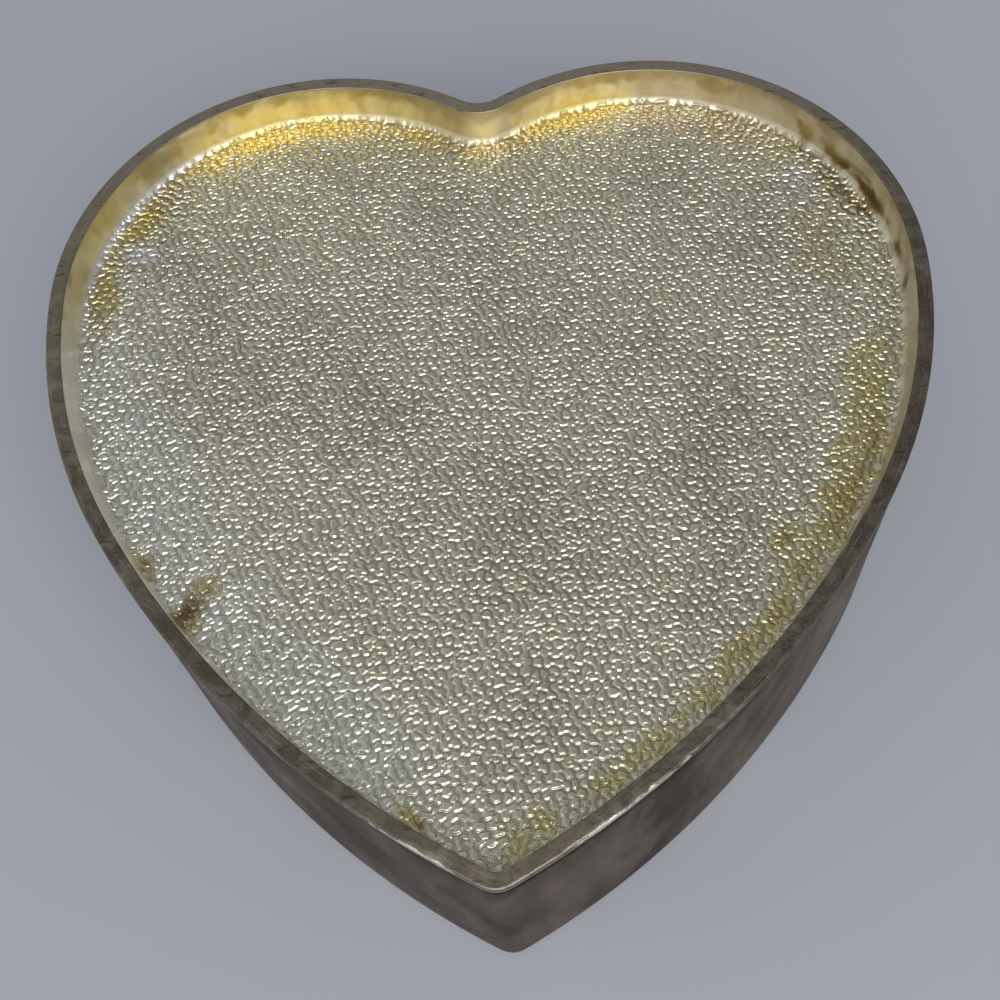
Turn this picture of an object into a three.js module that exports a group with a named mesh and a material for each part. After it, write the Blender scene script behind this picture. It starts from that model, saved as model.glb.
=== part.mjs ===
import * as THREE from "three";

// Silver plated trinket box: a heart-shaped body pressed from thin sheet, and a lift-off lid.
// The lid is a flat rim with a shallow pan sunk inside it, and the pan drops into the body's mouth.
// Millimetres. The box stands on z = 0, its point towards -Y and its two lobes towards +Y.

// Plan of the rim's outer edge, as arcs that run smoothly into each other
const LOBE_SPREAD = 37.6;
const LOBE_RADIUS = 31.2;
const SHOULDER_RADIUS = 60;
const SHOULDER_SWEEP_DEG = 31;
const FLANK_RADIUS = 103;
const POINT_RADIUS = 3;
const CLEFT_RADIUS = 4.1;

// Box body
const BODY_HEIGHT = 31.85;
const WALL = 0.7;
const FLOOR = 0.7;
const BASE_EDGE_RADIUS = 0.8;
const INNER_EDGE_RADIUS = 1.2;
const LIP_EASE = 0.2;

// Lid
const RIM_THICKNESS = 1;
const RIM_OVERHANG = 0.1;
const RIM_EASE = 0.25;
const SEAM_GAP = 0.15;
const PAN_SHEET = 0.6;
const PAN_CLEARANCE = 0.3;
const RECESS_DEPTH = 4.7;
const RECESS_FILLET = 1;
const RECESS_DRAFT = 0.3;

// Fineness of the facets
const FACET_LENGTH = 3.5;
const FEWEST_ARC_STEPS = 3;
const FILLET_STEPS = 5;
const EDGE_STEPS = 3;
const SHARPEST_CORNER = 0.3;

// Where the pieces meet
const bodyInset = RIM_OVERHANG;
const mouthInset = bodyInset + WALL;
const panInset = mouthInset + PAN_CLEARANCE;
const rimWidth = panInset + PAN_SHEET;
const rimUnderside = BODY_HEIGHT + SEAM_GAP;
const lidTop = rimUnderside + RIM_THICKNESS;
const recessFloor = lidTop - RECESS_DEPTH;
const recessFillet = Math.min(RECESS_FILLET, RECESS_DEPTH - RIM_THICKNESS);

// Centres of the arcs, before the heart is moved to the middle of its own box
const shoulderEnd = -THREE.MathUtils.degToRad(SHOULDER_SWEEP_DEG);
const lobeCentre = new THREE.Vector2(LOBE_SPREAD / 2, 0);
const shoulderCentre = new THREE.Vector2(lobeCentre.x + LOBE_RADIUS - SHOULDER_RADIUS, lobeCentre.y);
const flankCentre = new THREE.Vector2(Math.cos(shoulderEnd), Math.sin(shoulderEnd))
  .multiplyScalar(SHOULDER_RADIUS - FLANK_RADIUS)
  .add(shoulderCentre);
const cleftCentre = new THREE.Vector2(0, Math.sqrt((LOBE_RADIUS + CLEFT_RADIUS) ** 2 - lobeCentre.x ** 2));

// The point's fillet, on the middle line and touching both flanks, for a heart drawn inset from the rim's edge
function pointFillet(inset) {
  const radius = Math.max(POINT_RADIUS - inset, SHARPEST_CORNER);
  const reach = FLANK_RADIUS - inset - radius;
  const centre = new THREE.Vector2(0, flankCentre.y - Math.sqrt(reach ** 2 - flankCentre.x ** 2));
  return { centre, radius };
}

const rimPoint = pointFillet(0);
const heartMiddle = (LOBE_RADIUS + rimPoint.centre.y - rimPoint.radius) / 2;

function directionFrom(centre, target) {
  return Math.atan2(target.y - centre.y, target.x - centre.x);
}

// The arcs of the right half of a heart, from the middle of the cleft round the lobe to the point
function halfArcs(inset) {
  const point = pointFillet(inset);
  const lobeStart = directionFrom(lobeCentre, cleftCentre);
  const lobeTop = Math.PI / 2;
  const flankEnd = directionFrom(flankCentre, point.centre);
  return [
    { centre: cleftCentre, radius: CLEFT_RADIUS + inset, from: -lobeTop, to: lobeStart - Math.PI },
    { centre: lobeCentre, radius: LOBE_RADIUS - inset, from: lobeStart, to: lobeTop },
    { centre: lobeCentre, radius: LOBE_RADIUS - inset, from: lobeTop, to: 0 },
    { centre: shoulderCentre, radius: SHOULDER_RADIUS - inset, from: 0, to: shoulderEnd },
    { centre: flankCentre, radius: FLANK_RADIUS - inset, from: shoulderEnd, to: flankEnd },
    { ...point, from: flankEnd, to: -lobeTop },
  ];
}

// Steps of each arc, set by the rim's own outline so that every ring has the same number
const arcSteps = halfArcs(0).map(({ radius, from, to }) =>
  Math.max(FEWEST_ARC_STEPS, Math.round((radius * Math.abs(to - from)) / FACET_LENGTH)),
);

// An arc as points, without its last one, which starts the next arc
function arcPoints({ centre, radius, from, to }, steps) {
  const arc = new THREE.ArcCurve(centre.x, centre.y, radius, from, to, to < from);
  return arc.getPoints(steps).slice(0, -1);
}

// The right half of a heart ring, ending at the middle of the point
function halfRing(inset) {
  const arcs = halfArcs(inset);
  const { centre, radius } = arcs.at(-1);
  return [...arcs.flatMap((arc, k) => arcPoints(arc, arcSteps[k])), new THREE.Vector2(0, centre.y - radius)];
}

// A whole heart ring, anticlockwise seen from above, centred on its own box
function heartRing(inset) {
  const right = halfRing(inset).reverse();
  const left = right.slice(1, -1).reverse().map((p) => new THREE.Vector2(-p.x, p.y));
  return [...right, ...left].map((p) => new THREE.Vector2(p.x, p.y - heartMiddle));
}

// One step of a section: how far inside the rim's edge, and how high
function step(inset, z) {
  return { inset, z };
}

// A quarter round of a section, from one direction to another about its centre; inset grows to the left
function rounding(inset, z, radius, from, to, steps) {
  return Array.from({ length: steps + 1 }, (_, k) => {
    const angle = THREE.MathUtils.degToRad(THREE.MathUtils.lerp(from, to, k / steps));
    return step(inset - radius * Math.cos(angle), z + radius * Math.sin(angle));
  });
}

// A closed skin through heart rings, with a flat face across the first ring and the last
function heartSkin(section) {
  const rings = section.map(({ inset }) => heartRing(inset));
  const count = rings[0].length;
  const corners = rings.flatMap((ring, k) => ring.flatMap((p) => [p.x, p.y, section[k].z]));
  const faces = [];
  for (let k = 0; k + 1 < rings.length; k += 1) {
    for (let i = 0; i < count; i += 1) {
      const next = (i + 1) % count;
      const [a, b] = [k * count + i, k * count + next];
      const [c, d] = [a + count, b + count];
      faces.push(a, c, b, b, c, d);
    }
  }
  const lastRing = (rings.length - 1) * count;
  for (const [a, b, c] of THREE.ShapeUtils.triangulateShape(rings[0], [])) {
    faces.push(a, b, c);
  }
  for (const [a, b, c] of THREE.ShapeUtils.triangulateShape(rings.at(-1), [])) {
    faces.push(lastRing + a, lastRing + c, lastRing + b);
  }
  const geometry = new THREE.BufferGeometry();
  geometry.setAttribute("position", new THREE.Float32BufferAttribute(corners, 3));
  geometry.setIndex(faces);
  geometry.computeVertexNormals();
  return geometry;
}

// An open cup: inside floor, up the inside of the wall, over the lip, and down to the flat underside
function bodyGeometry() {
  return heartSkin([
    ...rounding(mouthInset + INNER_EDGE_RADIUS, FLOOR + INNER_EDGE_RADIUS, INNER_EDGE_RADIUS, -90, 0, EDGE_STEPS),
    step(mouthInset, BODY_HEIGHT),
    step(bodyInset + LIP_EASE, BODY_HEIGHT),
    step(bodyInset, BODY_HEIGHT - LIP_EASE),
    ...rounding(bodyInset + BASE_EDGE_RADIUS, BASE_EDGE_RADIUS, BASE_EDGE_RADIUS, 0, -90, EDGE_STEPS),
  ]);
}

// Pan floor, fillet, leaning pan wall, flat rim, its edge, and back under the rim round the pan's outside
function lidGeometry() {
  const filletInset = rimWidth + RECESS_DRAFT + recessFillet;
  const filletHeight = recessFloor + recessFillet;
  return heartSkin([
    ...rounding(filletInset, filletHeight, recessFillet, -90, 0, FILLET_STEPS),
    step(rimWidth, lidTop),
    step(RIM_EASE, lidTop),
    step(0, lidTop - RIM_EASE),
    step(0, rimUnderside),
    step(panInset, rimUnderside),
    ...rounding(filletInset, filletHeight, recessFillet + PAN_SHEET, 0, -90, FILLET_STEPS),
  ]);
}

// Worn silver plate, dull and dark on the wall and brighter on the lid's sunk panel
const bodyPlate = new THREE.MeshStandardMaterial({ color: 0x5f5953, roughness: 0.45, metalness: 0.85 });
const lidPlate = new THREE.MeshStandardMaterial({ color: 0x9a9684, roughness: 0.32, metalness: 0.95 });

function piece(name, geometry, material) {
  const mesh = new THREE.Mesh(geometry, material);
  mesh.name = name;
  return mesh;
}

const box = new THREE.Group();
box.add(piece("body", bodyGeometry(), bodyPlate));
box.add(piece("lid", lidGeometry(), lidPlate));

export default box;
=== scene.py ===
"""Looks of a heart-shaped silver plated trinket box with a lift-off lid.

The lid is one closed sheet: a flat worn rim round a shallow pan whose floor carries a pressed, pebbled grain.
The body is an open cup with a plain upright wall. Both follow the same heart of tangent arcs.
"""

import logging
import math
from dataclasses import dataclass, field
from enum import Enum
from functools import cached_property

import bpy
import numpy as np
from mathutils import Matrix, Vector, noise
from mathutils.geometry import delaunay_2d_cdt


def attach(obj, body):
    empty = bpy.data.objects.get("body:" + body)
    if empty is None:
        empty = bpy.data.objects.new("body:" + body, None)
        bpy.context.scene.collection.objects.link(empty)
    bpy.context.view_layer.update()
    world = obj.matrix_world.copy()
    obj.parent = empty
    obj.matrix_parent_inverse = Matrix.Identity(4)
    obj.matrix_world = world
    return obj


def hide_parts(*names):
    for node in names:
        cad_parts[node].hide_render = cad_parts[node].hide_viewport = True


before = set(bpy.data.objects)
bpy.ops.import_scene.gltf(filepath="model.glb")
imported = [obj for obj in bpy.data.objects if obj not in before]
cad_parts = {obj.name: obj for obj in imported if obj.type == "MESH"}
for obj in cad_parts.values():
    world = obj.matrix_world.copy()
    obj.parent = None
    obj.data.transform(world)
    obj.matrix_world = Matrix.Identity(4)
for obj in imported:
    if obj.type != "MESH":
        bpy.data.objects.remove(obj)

MM = 0.001
# Plan points nearer to each other than this are one
WELD = 1e-9
# Directions in a section, in degrees
OUT, UP, IN, DOWN = 0, 90, 180, -90
ROOT = "root"
LOG = logging.getLogger("trinket_box")

Triple = tuple[float, float, float]
Colour = Triple
Levels = tuple[float, float]
Section = list[tuple[float, float]]
Socket = bpy.types.NodeSocket
Tree = bpy.types.ShaderNodeTree


@dataclass(frozen=True)
class Arc:
    """One arc of the outline's right half, seen from above.

    A hollow arc curves the other way, as the cleft does.
    """

    centre: tuple[float, float]
    radius: float
    start: float
    end: float
    hollow: bool = False

    def points(self, steps: int) -> np.ndarray:
        """Points along the arc, without its last one.

        Args:
            steps: Number of equal steps.

        Returns:
            An array of x and y, one row a point.
        """
        angles = np.linspace(self.start, self.end, steps + 1)[:-1]
        return np.array(self.centre) + self.radius * np.column_stack([np.cos(angles), np.sin(angles)])

    def inside(self, points: np.ndarray) -> tuple[np.ndarray, np.ndarray, np.ndarray]:
        """Distance inside this arc, the way out to it, and the place along it.

        Args:
            points: Plan points with x of zero or more.

        Returns:
            The distances, infinite where this arc isn't the one abreast of a point, the unit directions
            outwards, and the lengths along the arc from its start.
        """
        spoke = points - np.array(self.centre)
        length = np.maximum(np.hypot(spoke[:, 0], spoke[:, 1]), 1e-12)
        turn = np.arctan2(spoke[:, 1], spoke[:, 0])
        slack = 1e-6
        abreast = (turn >= min(self.start, self.end) - slack) & (turn <= max(self.start, self.end) + slack)
        sign = -1.0 if self.hollow else 1.0
        distance = np.where(abreast, sign * (self.radius - length), np.inf)
        return distance, sign * spoke / length[:, None], self.radius * np.abs(turn - self.start)

    @property
    def length(self) -> float:
        """Length of the whole arc."""
        return self.radius * abs(self.end - self.start)


@dataclass(frozen=True)
class Footing:
    """Where plan points lie against the rim's edge: how far inside, which way is out, and how far along.

    Lengths along the edge start at the cleft, on either side.
    """

    inset: np.ndarray
    outward: np.ndarray
    along: np.ndarray


@dataclass(frozen=True)
class HeartOutline:
    """The rim's outer edge: a heart of arcs that run smoothly into each other."""

    lobe_spread: float = 37.6 * MM
    lobe_radius: float = 31.2 * MM
    shoulder_radius: float = 60.0 * MM
    shoulder_sweep: float = math.radians(31.0)
    flank_radius: float = 103.0 * MM
    point_radius: float = 3.0 * MM
    cleft_radius: float = 4.1 * MM
    sharpest_corner: float = 0.3 * MM
    spacing: float = 0.76 * MM

    @cached_property
    def lobe(self) -> np.ndarray:
        """Centre of the right lobe."""
        return np.array([self.lobe_spread / 2, 0.0])

    @cached_property
    def shoulder(self) -> np.ndarray:
        """Centre of the arc below the lobe."""
        return self.lobe + np.array([self.lobe_radius - self.shoulder_radius, 0.0])

    @cached_property
    def flank(self) -> np.ndarray:
        """Centre of the long arc that runs to the point.

        Returns:
            Its x and y.
        """
        turn = -self.shoulder_sweep
        reach = self.shoulder_radius - self.flank_radius
        return self.shoulder + reach * np.array([math.cos(turn), math.sin(turn)])

    @cached_property
    def cleft(self) -> np.ndarray:
        """Centre of the hollow arc between the lobes."""
        return np.array([0.0, math.sqrt((self.lobe_radius + self.cleft_radius) ** 2 - self.lobe[0] ** 2)])

    def point(self, inset: float) -> tuple[np.ndarray, float]:
        """The rounding at the heart's point.

        Args:
            inset: Distance inside the rim's edge.

        Returns:
            Its centre and radius.
        """
        radius = max(self.point_radius - inset, self.sharpest_corner)
        reach = self.flank_radius - inset - radius
        return np.array([0.0, self.flank[1] - math.sqrt(reach**2 - self.flank[0] ** 2)]), radius

    @cached_property
    def middle(self) -> np.ndarray:
        """Middle of the outline's own box, which is the origin's place."""
        centre, radius = self.point(0.0)
        return np.array([0.0, (self.lobe_radius + centre[1] - radius) / 2])

    def arcs(self, inset: float = 0.0) -> list[Arc]:
        """The right half, from the middle of the cleft to the point.

        Args:
            inset: Distance inside the rim's edge.

        Returns:
            The arcs in order.
        """
        point, point_radius = self.point(inset)
        top = math.pi / 2
        lobe_start = math.atan2(*(self.cleft - self.lobe)[::-1])
        flank_end = math.atan2(*(point - self.flank)[::-1])
        turn = -self.shoulder_sweep
        centres = [tuple(c - self.middle) for c in (self.cleft, self.lobe, self.shoulder, self.flank, point)]
        return [
            Arc(centres[0], self.cleft_radius + inset, -top, lobe_start - math.pi, hollow=True),
            Arc(centres[1], self.lobe_radius - inset, lobe_start, top),
            Arc(centres[1], self.lobe_radius - inset, top, 0.0),
            Arc(centres[2], self.shoulder_radius - inset, 0.0, turn),
            Arc(centres[3], self.flank_radius - inset, turn, flank_end),
            Arc(centres[4], point_radius, flank_end, -top),
        ]

    @cached_property
    def steps(self) -> list[int]:
        """Steps of each arc, the same for every ring."""
        return [max(4, round(arc.length / self.spacing)) for arc in self.arcs()]

    def ring(self, inset: float) -> np.ndarray:
        """A closed ring, anticlockwise from the point up the right side.

        Args:
            inset: Distance inside the rim's edge.

        Returns:
            An array of x and y.
        """
        arcs = self.arcs(inset)
        tip = np.array(arcs[-1].centre) - [0.0, arcs[-1].radius]
        right = np.vstack([arc.points(steps) for arc, steps in zip(arcs, self.steps)] + [tip])[::-1]
        left = right[1:-1][::-1] * [-1.0, 1.0]
        return np.vstack([right, left])

    def footing(self, points: np.ndarray) -> Footing:
        """Where plan points lie against the rim's edge.

        Args:
            points: Array of x and y.

        Returns:
            Their footing.
        """
        side = np.where(points[:, 0] < 0, -1.0, 1.0)
        mirrored = points * np.column_stack([side, np.ones(len(points))])
        best = np.full(len(points), np.inf)
        outward = np.zeros_like(mirrored)
        along = np.zeros(len(points))
        passed = 0.0
        for arc in self.arcs():
            distance, direction, reached = arc.inside(mirrored)
            nearer = distance < best
            best[nearer] = distance[nearer]
            outward[nearer] = direction[nearer]
            along[nearer] = passed + reached[nearer]
            passed += arc.length
        outward[:, 0] *= side
        return Footing(best, outward, along)


HEART = HeartOutline()


def rounding(inset: float, z: float, radius: float, start: float, end: float, steps: int) -> Section:
    """An arc of a section.

    Args:
        inset: The arc's centre, as a distance inside the rim's edge.
        z: Height of the centre.
        radius: Radius of the arc.
        start: Direction of its first point in degrees, as OUT, UP, IN and DOWN give them.
        end: Direction of its last point.
        steps: Number of steps.

    Returns:
        The section's points.
    """
    angles = [math.radians(start + (end - start) * k / steps) for k in range(steps + 1)]
    return [(inset - radius * math.cos(a), z + radius * math.sin(a)) for a in angles]


@dataclass(frozen=True)
class Waver:
    """Smooth unevenness between about -1 and 1; the shift keeps one unevenness apart from another."""

    wavelength: float
    shift: float

    def at(self, points: np.ndarray) -> np.ndarray:
        """The unevenness at each point.

        Args:
            points: Array of x, y and z.

        Returns:
            One value a point.
        """
        apart = Vector((self.shift, -self.shift, self.shift))
        return np.array([noise.noise(Vector(p) / self.wavelength + apart) for p in points])


class Surface(Enum):
    """What each face of a piece is finished as, in the order of its material slots."""

    PANEL = 0
    RIM = 1
    HIDDEN = 2


@dataclass
class SheetMesh:
    """A closed mesh gathered ring by ring."""

    vertices: list[np.ndarray] = field(default_factory=list)
    faces: list[tuple[int, ...]] = field(default_factory=list)
    surfaces: list[int] = field(default_factory=list)
    marks: dict[str, list[np.ndarray]] = field(default_factory=dict)
    count: int = 0

    def add(self, points: np.ndarray, **marks: np.ndarray) -> np.ndarray:
        """Adds vertices.

        Args:
            points: Array of x, y and z.
            **marks: Values at the vertices, by name; the same names each time.

        Returns:
            The vertices' numbers.
        """
        self.vertices.append(points)
        for name, values in marks.items():
            self.marks.setdefault(name, []).append(np.broadcast_to(values, len(points)))
        numbers = np.arange(self.count, self.count + len(points))
        self.count += len(points)
        return numbers

    def bridge(self, lower: np.ndarray, upper: np.ndarray, surface: Surface) -> None:
        """Fills the band between two rings of vertices.

        Args:
            lower: Vertex numbers of the ring that comes first in the section.
            upper: Vertex numbers of the next ring.
            surface: Finish of the band.
        """
        following = np.roll(np.arange(len(lower)), -1)
        quads = np.column_stack([lower, upper, upper[following], lower[following]])
        self.faces.extend(map(tuple, quads.tolist()))
        self.surfaces.extend([surface.value] * len(quads))

    def cap(self, ring: np.ndarray, surface: Surface, downwards: bool) -> None:
        """Closes a ring with one flat face.

        Args:
            ring: Vertex numbers, anticlockwise from above.
            surface: Finish of the face.
            downwards: Whether the face looks down.
        """
        order = ring[::-1] if downwards else ring
        self.faces.append(tuple(order.tolist()))
        self.surfaces.append(surface.value)

    def build(self, name: str, materials: list[bpy.types.Material]) -> bpy.types.Object:
        """Makes the object.

        Args:
            name: The piece's name.
            materials: Its materials, in the order of Surface.

        Returns:
            The new object, in the scene.
        """
        mesh = bpy.data.meshes.new(name)
        mesh.from_pydata(np.vstack(self.vertices), [], self.faces)
        for material in materials:
            mesh.materials.append(material)
        mesh.polygons.foreach_set("material_index", self.surfaces)
        mesh.polygons.foreach_set("use_smooth", [True] * len(self.faces))
        for mark, parts in self.marks.items():
            layer = mesh.attributes.new(mark, "FLOAT", "POINT")
            layer.data.foreach_set("value", np.concatenate(parts).astype(np.float32))
        mesh.validate()
        mesh.update()
        made = bpy.data.objects.new(name, mesh)
        bpy.context.scene.collection.objects.link(made)
        return made


@dataclass(frozen=True)
class PressedGrain:
    """Pebbled grain pressed into sheet: rounded grains, some of them run together into short ridges."""

    pitch: float = 1.05 * MM
    depth: float = 0.18 * MM
    scatter: float = 0.33
    shoulder_at: float = 0.3
    shoulder_height: float = 0.78
    joined_share: float = 0.42
    joined_height: float = 0.86
    valley_height: float = 0.05
    uneven: float = 0.3
    sheet_level: float = 0.5
    clear_edge: float = 0.14 * MM
    longest_side: float = 2.0
    seed: int = 11

    def centres(self, edge: float) -> np.ndarray:
        """Middles of the grains inside the heart.

        Args:
            edge: Distance inside the rim's edge where the grained sheet ends.

        Returns:
            An array of x and y.
        """
        dice = np.random.default_rng(self.seed)
        ring = HEART.ring(0.0)
        row_step = self.pitch * math.sqrt(3) / 2
        low, high = ring.min(axis=0), ring.max(axis=0)
        columns = np.arange(low[0], high[0], self.pitch)
        rows = np.arange(low[1], high[1], row_step)
        x, y = np.meshgrid(columns, rows)
        x = x + self.pitch / 2 * (np.arange(len(rows)) % 2)[:, None]
        points = np.column_stack([x.ravel(), y.ravel()])
        points += dice.uniform(-self.scatter, self.scatter, points.shape) * self.pitch
        return points[HEART.footing(points).inset > edge + self.pitch * self.shoulder_at]

    def relief(self, edge: float) -> tuple[np.ndarray, np.ndarray]:
        """Points that carry the grain, on the flat sheet.

        Args:
            edge: Distance inside the rim's edge where the grained sheet ends.

        Returns:
            Plan points, and the height of each from 0 in a valley to 1 on a grain.
        """
        centres = self.centres(edge)
        corners = [tuple(p) for p in centres]
        triangles = np.array(delaunay_2d_cdt([Vector(c) for c in corners], [], [], 0, WELD)[2])
        sides = np.vstack([triangles[:, [0, 1]], triangles[:, [1, 2]], triangles[:, [2, 0]]])
        sides = np.unique(np.sort(sides, axis=1), axis=0)
        spans = np.linalg.norm(centres[sides[:, 0]] - centres[sides[:, 1]], axis=1)
        sides = sides[spans < self.longest_side * self.pitch]
        dice = np.random.default_rng(self.seed + 1)
        tall = 1 - self.uneven * dice.random(len(centres))
        joined = dice.random(len(sides)) < self.joined_share
        first, second = centres[sides[:, 0]], centres[sides[:, 1]]
        tall_first, tall_second = tall[sides[:, 0]], tall[sides[:, 1]]
        lower = np.minimum(tall_first, tall_second)
        saddle = np.where(joined, self.joined_height * lower, self.valley_height)
        shoulder = np.where(joined, (1 + self.joined_height) / 2, self.shoulder_height)
        groups = [
            (centres, tall),
            (first + (second - first) * self.shoulder_at, shoulder * tall_first),
            (second + (first - second) * self.shoulder_at, shoulder * tall_second),
            ((first + second) / 2, saddle),
            (centres[triangles].mean(axis=1), np.zeros(len(triangles))),
        ]
        points = np.vstack([g[0] for g in groups])
        heights = np.concatenate([g[1] for g in groups])
        kept = HEART.footing(points).inset > edge + self.clear_edge
        return points[kept], heights[kept]


@dataclass(frozen=True)
class Mottle:
    """Cloudy noise of about 0 to 1: the size of its blotches in metres, its detail and its warp."""

    size: float
    detail: float = 3.0
    warp: float = 0.0


@dataclass(frozen=True)
class Shading:
    """Adds and links the nodes of one shader tree."""

    tree: Tree

    def add(self, kind: str, inputs: dict | None = None, **settings: object) -> bpy.types.Node:
        """Adds a node.

        Args:
            kind: The node's type, without its ShaderNode prefix.
            inputs: Values or sockets by input name or number.
            **settings: The node's own properties.

        Returns:
            The node.
        """
        node = self.tree.nodes.new("ShaderNode" + kind)
        for name, value in settings.items():
            setattr(node, name, value)
        for name, value in (inputs or {}).items():
            if isinstance(value, Socket):
                self.tree.links.new(value, node.inputs[name])
            else:
                node.inputs[name].default_value = value
        return node

    def maths(self, operation: str, *terms: object) -> Socket:
        """A number worked out from others."""
        return self.add("Math", dict(enumerate(terms)), operation=operation).outputs[0]

    def ramp(self, value: object, low: float, high: float) -> Socket:
        """A smooth mask, 0 where value is under low and 1 where it is over high."""
        inputs = {"Value": value, "From Min": low, "From Max": high}
        return self.add("MapRange", inputs, interpolation_type="SMOOTHSTEP").outputs[0]

    def fade(self, value: object, full: float, gone: float) -> Socket:
        """A smooth mask, 1 where value is under full and 0 where it is over gone."""
        return self.maths("SUBTRACT", 1.0, self.ramp(value, full, gone))

    def mix(self, factor: object, under: object, over: object) -> Socket:
        """One colour over another by a mask."""
        colours = [(*c, 1.0) if isinstance(c, tuple) else c for c in (under, over)]
        return self.add("Mix", {0: factor, 6: colours[0], 7: colours[1]}, data_type="RGBA").outputs[2]

    def laid(self, colour: object, tint: object, mask: object, strength: float) -> Socket:
        """A tint laid over a colour, by a mask and a strength."""
        return self.mix(self.maths("MULTIPLY", mask, strength), colour, tint)

    def blend(self, factor: object, under: object, over: object) -> Socket:
        """One number over another by a mask."""
        return self.add("Mix", {0: factor, 2: under, 3: over}).outputs[0]

    def mottle(self, place: object, kind: Mottle) -> Socket:
        """Cloudy noise of a kind."""
        inputs = {"Vector": place, "Scale": 1 / kind.size, "Detail": kind.detail, "Distortion": kind.warp}
        return self.add("TexNoise", inputs).outputs[0]

    def ragged(self, clouds: object, reach: float) -> Socket:
        """Cloudy noise turned into a shift to either side of zero."""
        return self.maths("MULTIPLY", self.maths("SUBTRACT", clouds, 0.5), reach)

    def bump(self, height: object, strength: float, depth: float, under: Socket | None = None) -> Socket:
        """The normal of a raised surface.

        Args:
            height: How far each spot is raised, from 0 to 1.
            strength: Share of the slopes that shows.
            depth: Height in metres of a spot that is raised by 1.
            under: Another such normal, which this one is laid over.

        Returns:
            The normal's socket.
        """
        inputs = {"Strength": strength, "Distance": depth, "Height": height}
        if under is not None:
            inputs["Normal"] = under
        return self.add("Bump", inputs).outputs[0]

    def stretched(self, place: object, scale: Triple) -> Socket:
        """A place vector scaled along each axis."""
        return self.add("VectorMath", {0: place, 1: scale}, operation="MULTIPLY").outputs[0]

    def place(self) -> Socket:
        """Place on the object, in metres."""
        return self.add("TexCoord").outputs["Object"]

    def mark(self, name: str) -> Socket:
        """A value stored at the mesh's vertices."""
        return self.add("Attribute", attribute_name=name).outputs["Fac"]

    def way(self) -> Socket:
        """Where a spot lies on the lid's sheet.

        Returns:
            A vector of its length along the rim from the cleft, negative on the left, and its run over
            the sheet.
        """
        side = self.maths("SIGN", self.add("SeparateXYZ", {0: self.place()}).outputs[0])
        along = self.maths("MULTIPLY", self.mark("along"), side)
        return self.add("CombineXYZ", {"X": along, "Y": self.mark("run")}).outputs[0]

    def group(self, tree: Tree, **inputs: object) -> Socket:
        """Places a node group.

        Args:
            tree: The group.
            **inputs: Values or sockets by the input's name in lower case.

        Returns:
            Its only output.
        """
        node = self.add("Group", node_tree=tree)
        for name, value in inputs.items():
            socket = node.inputs[name.capitalize()]
            if isinstance(value, Socket):
                self.tree.links.new(value, socket)
            else:
                socket.default_value = value
        return node.outputs[0]

    def specks(self, effects: "Effects", place: Socket, size: float, amount: float) -> Socket:
        """Scattered spots of a size in metres."""
        return self.group(effects.speckle, place=place, fineness=1 / size, amount=amount)

    def lines(self, effects: "Effects", way: Socket, width: float, length: float) -> Socket:
        """Fine broken lines of a width and length in metres."""
        return self.group(effects.scratches, way=way, fineness=1 / width, length=1 / length)


def new_group(name: str, output: str, inputs: dict[str, str]) -> tuple[Tree, Shading, dict]:
    """Starts a shader node group.

    Args:
        name: The group's name.
        output: Name of its one value output.
        inputs: Socket types by input name.

    Returns:
        The group, the means to add nodes to it, and its input sockets by name.
    """
    tree = bpy.data.node_groups.new(name, "ShaderNodeTree")
    for label, kind in inputs.items():
        tree.interface.new_socket(label, in_out="INPUT", socket_type="NodeSocket" + kind)
    tree.interface.new_socket(output, in_out="OUTPUT", socket_type="NodeSocketFloat")
    entry = tree.nodes.new("NodeGroupInput")
    return tree, Shading(tree), {label: entry.outputs[label] for label in inputs}


def end_group(tree: Tree, result: Socket) -> Tree:
    """Joins a group's result to its output.

    Args:
        tree: The group.
        result: The result's socket.

    Returns:
        The finished group.
    """
    leave = tree.nodes.new("NodeGroupOutput")
    tree.links.new(result, leave.inputs[0])
    return tree


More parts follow.
